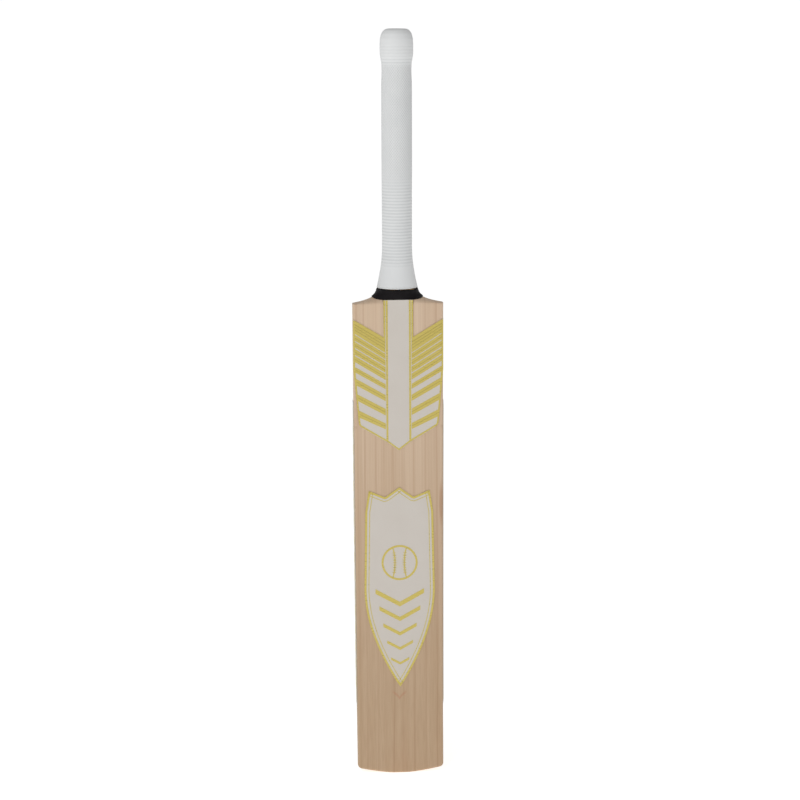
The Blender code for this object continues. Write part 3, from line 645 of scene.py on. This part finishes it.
def tape_skin():
    """Rings on the shoulder cove, grown outwards by the tape's build-up and drawn up at the sides; a
    soft step marks the free end, and slow waves make the edges and surface slightly uneven."""
    half = np.linspace(0.0, 1.0, sum(COUNTS) + 1)
    turn = np.concatenate([half * np.pi, (2.0 - half[-2:0:-1]) * np.pi])
    step = ease((turn - 0.10) / 0.030) * (1.0 - 0.55 * ease((turn - 2.0) / 4.0))
    outer, inner = [], []
    for level in np.linspace(0.0, 1.0, 15):
        z = TAPE_FROM + level * (TAPE_TO + 0.0006 - TAPE_FROM)
        drawn_up, loose = 0.0020 * (1.0 - level), 0.0012 * (1.0 - level)
        thin, thick = [tape_ring(z, drawn_up, grow, loose) for grow in (0.0003, 0.0012)]
        low = tape_ring(z, drawn_up, 0.0001 - 0.0007 * ease((level - 0.25) / 0.1), 0.0)
        wave = 0.10 * np.sin(turn * 9.0 + level * 4.0) + 0.06 * np.sin(turn * 17.0 - level * 7.0)
        edge = 1.0 - np.abs(2.0 * level - 1.0) ** 8
        share = (0.30 + 0.50 * step + wave) * (0.45 + 0.55 * edge)
        top_wave = (0.0003 * np.sin(turn * 5.0) - 0.0009 * step) * level**6
        low_wave = 0.0002 * np.sin(turn * 4.0 + 1.0) * (1.0 - level)
        height = z + top_wave + drawn_up * np.sin(turn) ** 4 + low_wave
        outer.append(np.column_stack([thin + (thick - thin) * share[:, None], height]))
        inner.append(np.column_stack([low, height]))
    return skin("shoulder_cloth_tape", [(np.array(outer + inner[::-1]), True, True)], 50.0)


def tape_finish():
    """Black tape: a satin face in two near blacks, with fine stretch wrinkles running round it."""
    material, nodes, links, shader = new_finish("black_cloth_tape")
    marks = grouped(nodes, handling_marks, {"Patch Size": 90.0})
    tone = mixed(nodes, marks["Patches"], (0.002, 0.0015, 0.002), (0.008, 0.006, 0.007))
    links.new(tone, shader.inputs["Base Color"])
    wrinkle = noise(nodes, mapped(nodes, Scale=(60.0, 60.0, 520.0)), 1.0, 3.0)
    links.new(stepped(nodes, wrinkle, 0.3, 0.7, 0.38, 0.60), shader.inputs["Roughness"])
    shader.inputs["Specular IOR Level"].default_value = 0.13
    bumped(nodes, shader, wrinkle, 0.5, 0.0006)
    return material


tape = tape_skin()
tape.data.materials.append(tape_finish())
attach(tape, "root")
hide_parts("shoulder_tape")

# --------------------
# Top face sticker. One die-cut white film from under the tape to a point, its
# wings wrapped over the blade's edges, printed with gold foil bars that fan
# out either side of a plain centre band.

# The underside and the top of each printed layer, as heights above the wood.
FILM, FOIL, INK = (0.0002, 0.00055), (0.00050, 0.00068), (0.00065, 0.00071)
WING_LIMIT = 0.0528


def on_blade(across, height, lift):
    """A point on the blade from its distance across the skin, its height and its lift off the wood:
    across the crowned face, then round the quarter circle of the edge, then back along the side."""
    half = blade_half_width(height)
    radius = FACE_ROUND
    reach = np.abs(across)
    corner_y = FACE_CROWN * ((half - radius) / half) ** 2
    turn = np.clip((reach - (half - radius)) / radius, 0.0, np.pi / 2.0)
    beyond = np.maximum(reach - (half - radius) - radius * np.pi / 2.0, 0.0)
    on_face = reach <= half - radius
    x = np.where(on_face, reach, half - radius + (radius + lift) * np.sin(turn))
    round_y = corner_y + radius - (radius + lift) * np.cos(turn) + beyond
    y = np.where(on_face, FACE_CROWN * (reach / half) ** 2 - lift, round_y)
    return np.stack([np.sign(across) * x, y + forward(height), height], axis=-1)


def rimmed(top, under, ring=False):
    """The sheets of a thin slab: its top, its underside and its rim walls; a ring closes on itself."""
    edges = [(top[:, 0], under[:, 0]), (top[:, -1], under[:, -1])]
    if not ring:
        edges += [(top[0], under[0]), (top[-1], under[-1])]
    walls = [(np.stack(pair, axis=1), False, ring) for pair in edges]
    return [(top, False, ring), (under, False, ring)] + walls


def slab_sheets(across, height, low, high, ring=False):
    """A thin slab over a grid of places on the blade."""
    return rimmed(on_blade(across, height, high), on_blade(across, height, low), ring)


def patch(corners, low, high, columns=24, rows=4):
    """A slab on a four-cornered patch, its inside points mixed from its corners in both directions."""
    (a, b, c, d) = [np.array(p, dtype=float) for p in corners]
    u = np.linspace(0.0, 1.0, columns)[None, :, None]
    v = np.linspace(0.0, 1.0, rows)[:, None, None]
    flat = (a * (1 - u) + b * u) * (1 - v) + (d * (1 - u) + c * u) * v
    return slab_sheets(flat[..., 0], flat[..., 1], low, high)


def both_sides(corners_list, low, high, columns=24, rows=4):
    """The patches and their mirror images across the bat's middle."""
    sheets = []
    for corners in corners_list:
        sheets += patch(corners, low, high, columns, rows)
        sheets += patch([(-x, z) for x, z in corners], low, high, columns, rows)
    return sheets


BAND_OUT, BAND_LINE, BAND_IN = 0.0173, 0.0146, 0.0124
WING_TOP_IN, WING_TOP_OUT = 0.5338, 0.5552
TIP_X, CORNER_X = 0.0135, 0.0455
TIP_Z, SLOPE_Z, CORNER_Z, SIDE_Z = 0.3985, 0.4087, 0.4275, 0.4960


def wing_low(x):
    """The sticker's lower edge: a point in the middle, then a gentler slope out to the rounded
    corner, then the side, which rises as the 0.9th power."""
    x = np.abs(x)
    tip = TIP_Z + (SLOPE_Z - TIP_Z) * x / TIP_X
    slope = SLOPE_Z + (CORNER_Z - SLOPE_Z) * (x - TIP_X) / (CORNER_X - TIP_X)
    side = CORNER_Z + (SIDE_Z - CORNER_Z) * np.clip((x - CORNER_X) / (WING_LIMIT - CORNER_X), 0.0, 1.0) ** 0.9
    rounding = 0.0016 * np.exp(-(((x - CORNER_X) / 0.0016) ** 2))
    return np.where(x < TIP_X, tip, np.where(x < CORNER_X, slope, side)) + rounding


def wing_high(x):
    """The sticker's upper edge: under the tape on the band, and rising outwards on the wings."""
    rise = WING_TOP_IN + (WING_TOP_OUT - WING_TOP_IN) * (np.abs(x) - BAND_OUT) / (WING_LIMIT - BAND_OUT)
    return np.where(np.abs(x) <= BAND_OUT, TAPE_FROM + 0.0001, rise)


def top_film():
    """The white film: columns of points between the lower and the upper edge, right across the blade."""
    wing = np.concatenate([np.linspace(BAND_OUT + 1e-5, 0.0445, 20), np.linspace(0.0450, WING_LIMIT, 22)])
    columns = np.concatenate([-wing[::-1], np.linspace(-BAND_OUT, BAND_OUT, 41), wing])
    level = np.linspace(0.0, 1.0, 60)[None, :]
    low, high = wing_low(columns)[:, None], wing_high(columns)[:, None]
    height = np.minimum(low + (high - low) * level, TAPE_FROM + 0.0001)
    across = np.repeat(columns[:, None], 60, axis=1)
    return skin("top_sticker_film", slab_sheets(across, height, *FILM))


def at_wing(x, inner, outer):
    """The height of a slanting line of the wing at a distance x from the middle."""
    return inner + (outer - inner) * (x - 0.0150) / (0.0510 - 0.0150)


def bar_end(height, full, below):
    """How far out a bar runs: in full above 497 mm, and less and less the lower it is below that."""
    return full if height > 0.497 else below - (0.497 - height) * 0.085


def top_foil():
    """Gold bars: the solid upper part, the bars between slits, the outer borders and the band's lines."""
    gold = []
    inner, top = BAND_LINE + 0.0007, TAPE_FROM - 0.0002
    cuts = [
        (0.5327, 0.5541, 0.5153, 0.5385), (0.5143, 0.5373, 0.5079, 0.5305), (0.5068, 0.5292, 0.4999, 0.5221),
        (0.4986, 0.5207, 0.4918, 0.5138), (0.4904, 0.5122, 0.4832, 0.5050), (0.4782, 0.4992, 0.4722, 0.4928),
        (0.4652, 0.4858, 0.4579, 0.4780), (0.4486, 0.4680, 0.4408, 0.4602), (0.4312, 0.4492, 0.4241, 0.4408),
    ]
    for top_in, top_out, low_in, low_out in cuts:
        outer = bar_end(top_out, WING_LIMIT, 0.0506)
        low = [(x, at_wing(x, low_in, low_out)) for x in (inner, outer)]
        gold.append(low + [(x, at_wing(x, top_in, top_out)) for x in (outer, inner)])
    gold.append([(inner, 0.5325), (BAND_OUT - 0.0001, 0.5335), (BAND_OUT - 0.0001, top), (inner, top)])
    gold.append([(BAND_IN, 0.4089), (BAND_LINE, 0.4104), (BAND_LINE, top), (BAND_IN, top)])
    gold.append([(0.0, 0.3988), (0.0136, 0.4091), (0.0132, 0.4110), (0.0, 0.4010)])
    gold.append([(0.0132, 0.4089), (0.0450, 0.4276), (0.0440, 0.4293), (0.0132, 0.4110)])
    edge = [(0.0450, 0.4276), (0.0466, 0.4300), (0.0474, 0.4362), (0.0498, 0.4640), (0.0513, 0.4830)]
    edge.append((WING_LIMIT, 0.4962))
    inside = [(0.0440, 0.4293), (0.0449, 0.4310), (0.0456, 0.4366), (0.0480, 0.4640), (0.0496, 0.4850)]
    inside.append((0.0506, 0.4985))
    for k in range(len(edge) - 1):
        gold.append([edge[k], edge[k + 1], inside[k + 1], inside[k]])
    border = WING_LIMIT - 0.0022
    gold.append([(border, 0.4962), (WING_LIMIT, 0.4962), (WING_LIMIT, 0.5546), (border, 0.5533)])
    return skin("top_sticker_foil", both_sides(gold, *FOIL, 20, 5), 40.0)


def top_ink():
    """Fine bronze lines: three across the solid part of each wing, one along each bar below."""
    lines = []
    start = BAND_LINE + 0.0010
    rows = [(0.5277, 0.5495, 0.00045), (0.5240, 0.5463, 0.00040), (0.5203, 0.5430, 0.00040)]
    bars = [(0.5108, 0.5336), (0.5030, 0.5254), (0.4950, 0.5170), (0.4866, 0.5084), (0.4752, 0.4960)]
    bars += [(0.4616, 0.4819), (0.4447, 0.4641), (0.4277, 0.4450)]
    for inner, outer, half in rows + [bar + (0.00030,) for bar in bars]:
        reach = bar_end(outer, WING_LIMIT - 0.0003, 0.0500)
        low, high = at_wing(start, inner, outer), at_wing(reach, inner, outer)
        lines.append([(start, low - half), (reach, high - half), (reach, high + half), (start, low + half)])
    return skin("top_sticker_ink", both_sides(lines, *INK, 20, 3), 40.0)


def film_finish():
    """White vinyl film: a warm off-white with a faint pressed texture and a soft gloss."""
    material, nodes, links, shader = new_finish("white_sticker_film")
    marks = grouped(nodes, handling_marks, {"Patch Size": 34.0})
    tone = mixed(nodes, marks["Patches"], (0.645, 0.600, 0.545), (0.600, 0.548, 0.490))
    links.new(tone, shader.inputs["Base Color"])
    links.new(stepped(nodes, marks["Speckle"], 0.3, 0.7, 0.30, 0.42), shader.inputs["Roughness"])
    bumped(nodes, shader, marks["Speckle"], 0.05, 0.0001)
    return material


def foil_finish():
    """Gold foil: warm yellow, half metallic, with fine slanting streaks and slight rubbing."""
    material, nodes, links, shader = new_finish("gold_foil")
    turned = {"Rotation": (0.0, np.radians(28.0), 0.0), "Scale": (60.0, 60.0, 520.0)}
    streak = noise(nodes, mapped(nodes, **turned), 1.0)
    marks = grouped(nodes, handling_marks, {"Patch Size": 60.0})
    tone = mixed(nodes, streak, (0.52, 0.415, 0.090), (0.64, 0.52, 0.140))
    worn = stepped(nodes, marks["Patches"], 0.58, 0.75, 0.0, 0.35)
    links.new(mixed(nodes, worn, tone, (0.60, 0.50, 0.22)), shader.inputs["Base Color"])
    shader.inputs["Metallic"].default_value = 0.45
    links.new(stepped(nodes, streak, 0.3, 0.7, 0.26, 0.40), shader.inputs["Roughness"])
    bumped(nodes, shader, streak, 0.01, 0.0001)
    return material


def ink_finish():
    """Bronze ink over the foil: a darker, duller gold that varies a little along its lines."""
    material, nodes, links, shader = new_finish("bronze_ink")
    marks = grouped(nodes, handling_marks, {"Patch Size": 70.0})
    tone = mixed(nodes, marks["Patches"], (0.34, 0.26, 0.055), (0.46, 0.37, 0.105))
    links.new(tone, shader.inputs["Base Color"])
    shader.inputs["Metallic"].default_value = 0.3
    links.new(stepped(nodes, marks["Speckle"], 0.3, 0.7, 0.35, 0.5), shader.inputs["Roughness"])
    return material


white_sticker_film = film_finish()
gold_foil = foil_finish()
top_sheet, top_gold, top_lines = top_film(), top_foil(), top_ink()
for piece, finish in ((top_sheet, white_sticker_film), (top_gold, gold_foil), (top_lines, ink_finish())):
    piece.data.materials.append(finish)
    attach(piece, "root")
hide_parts("face_sticker_top")

# --------------------
# Lower face sticker. A die-cut shield of the same white film with a gold foil
# border, an inner line and a plain seamed ball, pressed onto the sweet spot.

SHIELD_TOP, SHIELD_BOTTOM, SHIELD_HALF, SHIELD_WAIST = 0.3540, 0.1088, 0.0420, 0.2300
BALL_Z, BALL_RADIUS, SEAM_X, SEAM_BOW, SEAM_REACH = 0.262, 0.0215, 0.0056, 0.0050, 0.0205


def shield_edge(count):
    """The shield's outline as places across and up: a quarter-sine belly, straight sides, a notched top."""
    share = np.linspace(0.0, 1.0, 60)
    belly_x = SHIELD_HALF * np.sin(share * np.pi / 2.0) ** 0.9
    belly = np.column_stack([belly_x, SHIELD_BOTTOM + (SHIELD_WAIST - SHIELD_BOTTOM) * share])
    crown = [(SHIELD_HALF * 0.96, SHIELD_TOP - 0.030), (SHIELD_HALF * 0.86, SHIELD_TOP - 0.004)]
    crown += [(SHIELD_HALF * 0.40, SHIELD_TOP - 0.012), (0.0, SHIELD_TOP)]
    right = np.concatenate([belly, np.array(crown)])
    full = np.concatenate([right, (right * np.array([-1.0, 1.0]))[-2:0:-1]])
    closed = np.vstack([full, full[:1]])
    length = np.append(0.0, np.cumsum(np.hypot(*np.diff(closed, axis=0).T)))
    walk = np.linspace(0.0, length[-1], count, endpoint=False)
    return np.column_stack([np.interp(walk, length, closed[:, 0]), np.interp(walk, length, closed[:, 1])])


def pulled_in(points, by):
    """The outline moved inwards along its own normals."""
    ahead, behind = np.roll(points, -1, axis=0), np.roll(points, 1, axis=0)
    along = ahead - behind
    normal = np.column_stack([-along[:, 1], along[:, 0]]) / np.maximum(np.hypot(*along.T), 1e-9)[:, None]
    return points + normal * by


def ring_foil(outer, inner, low, high):
    """A closed strip of foil between two outlines."""
    steps = np.linspace(0.0, 1.0, 4)[None, :, None]
    flat = outer[:, None, :] * (1.0 - steps) + inner[:, None, :] * steps
    return slab_sheets(flat[..., 0], flat[..., 1], low, high, ring=True)


def lower_sticker():
    """The film as rings that shrink to the shield's middle, and the foil as strips and a seamed ball."""
    edge = shield_edge(360)
    middle = np.array([0.0, 0.238])
    shrink = np.linspace(1.0, 0.0, 24)[None, :, None]
    flat = middle + (edge[:, None, :] - middle) * shrink
    film = skin("lower_sticker_film", slab_sheets(flat[..., 0], flat[..., 1], *FILM, ring=True))
    foil = ring_foil(edge * np.array([0.9995, 1.0]), pulled_in(edge, 0.0024), *FOIL)
    foil += ring_foil(pulled_in(edge, 0.0048), pulled_in(edge, 0.0056), *FOIL)
    angle = np.linspace(0.0, 2.0 * np.pi, 120, endpoint=False)
    circle = np.column_stack([np.sin(angle), np.cos(angle)])
    ball = np.array([0.0, BALL_Z])
    foil += ring_foil(ball + circle * BALL_RADIUS, ball + circle * 0.0192, *FOIL)
    sweep = np.radians(np.linspace(-62.0, 62.0, 40))
    across = np.array([[-0.0007, 0.0], [0.0, 0.0], [0.0007, 0.0]])[None]
    for side in (-1.0, 1.0):
        seam_x = side * (SEAM_X + SEAM_BOW * (1.0 - np.cos(sweep)))
        strip = np.column_stack([seam_x, BALL_Z + SEAM_REACH * np.sin(sweep)])[:, None, :] + across
        foil += slab_sheets(strip[..., 0], strip[..., 1], *FOIL)
    for z in np.linspace(0.250, 0.274, 9):
        bow = SEAM_X + SEAM_BOW * (1.0 - np.sqrt(1.0 - ((z - BALL_Z) / SEAM_REACH) ** 2))
        for x in (-bow, bow):
            left, right, low, high = x - 0.0021, x + 0.0021, z - 0.0004, z + 0.0004
            foil += patch([(left, low), (right, low), (right, high), (left, high)], *FOIL, 4, 3)
    chevrons = []
    for level in range(5):
        base, thick, reach = 0.2080 - 0.0180 * level, 0.0058 - 0.0007 * level, 0.0290 - 0.0045 * level
        rise = base + reach * 0.55
        chevrons.append([(0.0, base), (reach, rise), (reach, rise + thick), (0.0, base + thick)])
    foil += both_sides(chevrons, *FOIL, 16, 4)
    return film, skin("lower_sticker_foil", foil, 40.0)


low_sheet, low_gold = lower_sticker()
for piece, finish in ((low_sheet, white_sticker_film), (low_gold, gold_foil)):
    piece.data.materials.append(finish)
    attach(piece, "root")
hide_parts("face_sticker_lower")

# --------------------
# Edge stickers. A long narrow white label on each side of the blade, with a
# thin gold line near each of its long edges and plain gold dashes between.

EDGE_FROM, EDGE_TO = 0.0850, 0.4560


def on_edge(share, height, lift, side):
    """A point on the blade's side: a share of the way from its face corner to its back corner,
    pushed out by the edge's slight bulge and by the lift."""
    half = blade_half_width(height)
    corner_y = FACE_CROWN * ((half - FACE_ROUND) / half) ** 2 + FACE_ROUND
    back = edge_depth(height) - BACK_ROUND
    x = side * (half + lift + EDGE_BULGE * np.sin(np.pi * share))
    return np.stack([x, corner_y + share * (back - corner_y) + forward(height), height], axis=-1)


def grid(down, across, rows, columns):
    """Two arrays over a grid: one runs down its rows, the other across its columns."""
    return np.meshgrid(np.linspace(*down, rows), np.linspace(*across, columns), indexing="ij")


def edge_block(shares, heights, low, high, side, rows=8, columns=4):
    """A four-sided slab on the side of the blade."""
    height, share = grid(heights, shares, rows, columns)
    return rimmed(on_edge(share, height, high, side), on_edge(share, height, low, side))


for label, side in (("left", -1.0), ("right", 1.0)):
    film = skin("edge_film_" + label, edge_block((0.02, 0.98), (EDGE_FROM, EDGE_TO), *FILM, side, 120, 12))
    gold = []
    for shares in ((0.06, 0.10), (0.90, 0.94)):
        gold += edge_block(shares, (EDGE_FROM + 0.004, EDGE_TO - 0.004), *FOIL, side, 120, 3)
    for z in np.arange(EDGE_FROM + 0.020, EDGE_TO - 0.030, 0.022):
        gold += edge_block((0.34, 0.66), (z, z + 0.012), *FOIL, side)
    foil = skin("edge_foil_" + label, gold, 40.0)
    for piece, finish in ((film, white_sticker_film), (foil, gold_foil)):
        piece.data.materials.append(finish)
        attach(piece, "root")
    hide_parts("edge_sticker_" + label)

# --------------------
# Back stickers. A white label with a gold border on each flank of the back,
# between the edge and the spine.

BACK_FROM, BACK_TO = 0.2500, 0.4100
BACK_FILM, BACK_FOIL = (0.0002, 0.0006), (0.00055, 0.00075)


def on_back(reach, height, lift, side):
    """A point on the back's flank at a distance from the spine's middle, lifted off the wood."""
    half = blade_half_width(height) - BACK_ROUND
    edge, spine = edge_depth(height), spine_depth(height)
    y = edge + lift + (spine - edge) * (1.0 + np.cos(np.pi * (reach / half) ** SPINE_POWER)) / 2.0
    return np.stack([side * reach, y + forward(height), height], axis=-1)


def back_block(reaches, heights, low, high, side, rows=60, columns=16):
    """A four-sided slab on the flank, its ends cut on a slant."""
    height, reach = grid(heights, reaches, rows, columns)
    height = height + (reach - 0.018) * 0.45
    return rimmed(on_back(reach, height, high, side), on_back(reach, height, low, side))


for label, side in (("left", -1.0), ("right", 1.0)):
    low, high = BACK_FROM + 0.001, BACK_TO - 0.012
    flank = back_block((0.0180, 0.0410), (BACK_FROM, BACK_TO - 0.011), *BACK_FILM, side)
    film = skin("back_film_" + label, flank)
    gold = []
    for reaches in ((0.0186, 0.0202), (0.0388, 0.0404)):
        gold += back_block(reaches, (low, high), *BACK_FOIL, side, 60, 3)
    for heights in ((low, low + 0.0016), (high - 0.0016, high)):
        gold += back_block((0.0202, 0.0388), heights, *BACK_FOIL, side, 3, 12)
    for step in range(6):
        base = BACK_FROM + 0.020 + 0.019 * step
        gold += back_block((0.0235, 0.0355), (base, base + 0.009 - 0.001 * step), *BACK_FOIL, side, 4, 10)
    foil = skin("back_foil_" + label, gold, 40.0)
    for piece, finish in ((film, white_sticker_film), (foil, gold_foil)):
        piece.data.materials.append(finish)
        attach(piece, "root")
    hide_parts("back_sticker_" + label)

# --------------------
# Studio. A wide white floor that gives off a little light, one large soft lamp
# high in front on the left, even white surroundings, and the camera in front.

floor_x, floor_y = np.meshgrid(np.linspace(-40.0, 40.0, 3), np.linspace(-12.0, 60.0, 3))
floor = skin("studio_floor", [(np.stack([floor_x, floor_y, np.zeros((3, 3))], axis=-1), False, False)])
floor_paint, _, _, floor_shader = new_finish("white_floor")
floor_shader.inputs["Base Color"].default_value = (0.97, 0.97, 0.97, 1.0)
floor_shader.inputs["Roughness"].default_value = 0.9
floor_shader.inputs["Emission Color"].default_value = (1.0, 1.0, 1.0, 1.0)
floor_shader.inputs["Emission Strength"].default_value = 0.64
floor.data.materials.append(floor_paint)

surroundings = bpy.data.worlds.new("studio_air")
surroundings.use_nodes = True
background = surroundings.node_tree.nodes["Background"]
background.inputs["Color"].default_value = (1.0, 1.0, 1.0, 1.0)
background.inputs["Strength"].default_value = 0.40
bpy.context.scene.world = surroundings
bpy.context.scene.view_settings.view_transform = "Standard"


def soft_lamp(name, place, target, size, power):
    """A square lamp at a place, turned towards a target."""
    light = bpy.data.lights.new(name, "AREA")
    light.size = size
    light.energy = power
    lamp = bpy.data.objects.new(name, light)
    aim = np.array(target, dtype=float) - np.array(place, dtype=float)
    back = -aim / np.linalg.norm(aim)
    right = np.cross([0.0, 0.0, 1.0], back)
    right = right / np.linalg.norm(right)
    turn = Matrix(np.column_stack([right, np.cross(back, right), back]).tolist()).to_4x4()
    lamp.matrix_world = Matrix.Translation(place) @ turn
    bpy.context.scene.collection.objects.link(lamp)


soft_lamp("key_lamp", (-1.0, -1.5, 2.0), (0.0, 0.0, 0.80), 0.9, 13.0)

lens = bpy.data.cameras.new("front_camera")
lens.sensor_width = 36.0
lens.lens = 99.45
lens.clip_end = 200.0
camera = bpy.data.objects.new("front_camera", lens)
pan = Matrix.Rotation(np.radians(-3.454), 4, "Z")
tilt = Matrix.Rotation(np.radians(90.0 - 11.481), 4, "X")
roll = Matrix.Rotation(np.radians(-0.291), 4, "Z")
camera.matrix_world = Matrix.Translation((-0.1516, -2.5616, 0.9754)) @ pan @ tilt @ roll
bpy.context.scene.collection.objects.link(camera)
bpy.context.scene.camera = camera
